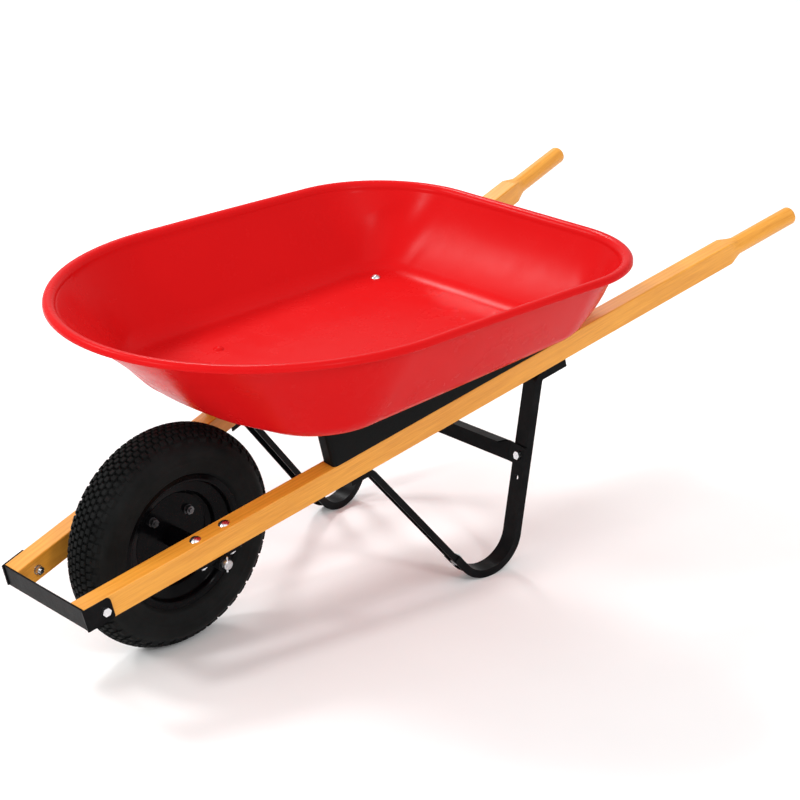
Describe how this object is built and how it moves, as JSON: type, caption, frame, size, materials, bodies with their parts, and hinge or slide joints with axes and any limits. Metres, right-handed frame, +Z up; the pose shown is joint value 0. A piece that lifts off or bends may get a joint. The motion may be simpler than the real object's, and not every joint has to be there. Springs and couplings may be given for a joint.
{
  "type": "wheelbarrow",
  "caption": "Garden wheelbarrow with a moulded tray, timber handles, bent steel legs, a pneumatic wheel and a nose guard.",
  "frame": {"origin": "on the ground, in the middle of the overall length and width", "axes": "+X from the wheel back to the grips, +Y to the user's right, +Z up"},
  "size_m": [1.4816, 0.724, 0.5602],
  "materials": {
    "red_tray": "satin moulded poly, soft sheen",
    "handle_wood": "clear lacquered hardwood",
    "black_powder_coat": "semi-gloss black powder coat",
    "gloss_black_paint": "gloss black",
    "black_plastic": "satin black",
    "tyre_rubber": "matte black rubber",
    "tube_rubber": "matte butyl",
    "zinc_steel": "bright zinc plate",
    "bright_steel": "drawn steel bar",
    "nylon": "black nylon",
    "valve_brass": "turned brass",
    "cap_plastic": "matte black"
  },
  "bodies": {
    "frame": {"axle": "bright_steel", "axle_bracket_bolts": "zinc_steel", "axle_bracket_nuts": "zinc_steel", "axle_bracket_washers": "zinc_steel", "axle_pins": "bright_steel", "axle_spacers": "black_powder_coat", "cross_brace": "black_powder_coat", "cross_brace_bolts": "zinc_steel", "cross_brace_nuts": "zinc_steel", "cross_brace_washers": "zinc_steel", "front_tray_bolts": "zinc_steel", "front_tray_nuts": "zinc_steel", "front_tray_washers": "zinc_steel", "left_axle_bracket": "black_powder_coat", "left_handle": "handle_wood", "left_leg": "black_powder_coat", "left_leg_brace": "black_powder_coat", "left_riser": "black_plastic", "leg_brace_bolts": "zinc_steel", "leg_brace_nuts": "zinc_steel", "leg_brace_washers": "zinc_steel", "nose_guard": "black_powder_coat", "nose_guard_bolts": "zinc_steel", "nose_guard_nuts": "zinc_steel", "nose_guard_washers": "zinc_steel", "rear_tray_bolts": "zinc_steel", "rear_tray_nuts": "zinc_steel", "rear_tray_washers": "zinc_steel", "right_axle_bracket": "black_powder_coat", "right_handle": "handle_wood", "right_leg": "black_powder_coat", "right_leg_brace": "black_powder_coat", "right_riser": "black_plastic", "tray": "red_tray"},
    "wheel": {"hub_tube": "gloss_black_paint", "inner_tube": "tube_rubber", "left_hub_bearing": "nylon", "left_rim_half": "gloss_black_paint", "right_hub_bearing": "nylon", "right_rim_half": "gloss_black_paint", "rim_bolts": "zinc_steel", "rim_nuts": "zinc_steel", "rim_washers": "zinc_steel", "tyre": "tyre_rubber", "valve_cap": "cap_plastic", "valve_stem": "valve_brass"}
  },
  "joints": [
    {"name": "wheel_spin", "type": "hinge", "parent": "frame", "child": "wheel", "pos_m": [-0.49324, 0, 0.1875], "axis": [0, 1, 0], "continuous": true}
  ]
}
